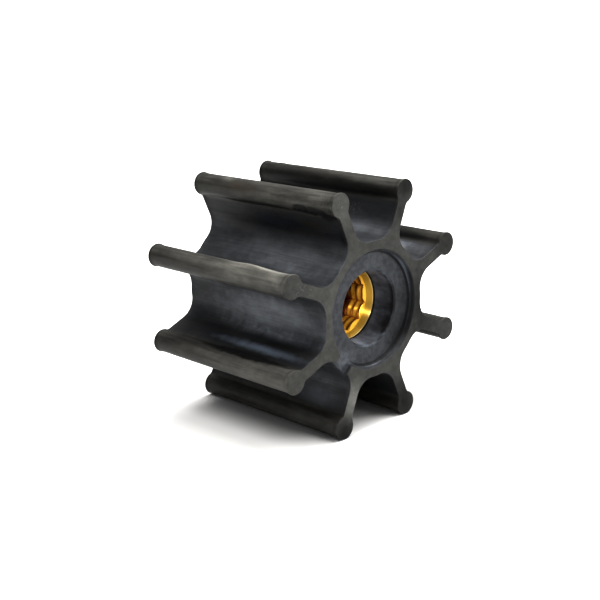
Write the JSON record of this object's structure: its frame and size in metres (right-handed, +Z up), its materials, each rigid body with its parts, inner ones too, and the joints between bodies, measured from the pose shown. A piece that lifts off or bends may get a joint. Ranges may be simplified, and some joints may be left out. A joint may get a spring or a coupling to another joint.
{
  "type": "rubber pump impeller",
  "caption": "Flexible vane impeller for a raw water pump, with beaded rubber vanes and a splined brass insert in its bore.",
  "frame": {"origin": "middle of the bore, halfway between the two end faces", "axes": "-Y out of the bore on the side of the sealing recess, +Z up with the impeller lying on two of its vanes"},
  "size_m": [0.0608, 0.0494, 0.0608],
  "materials": {
    "rubber": "satin, moulded",
    "brass": "machined"
  },
  "bodies": {
    "root": {"rubber_body": "rubber", "splined_insert": "brass"}
  },
  "joints": []
}
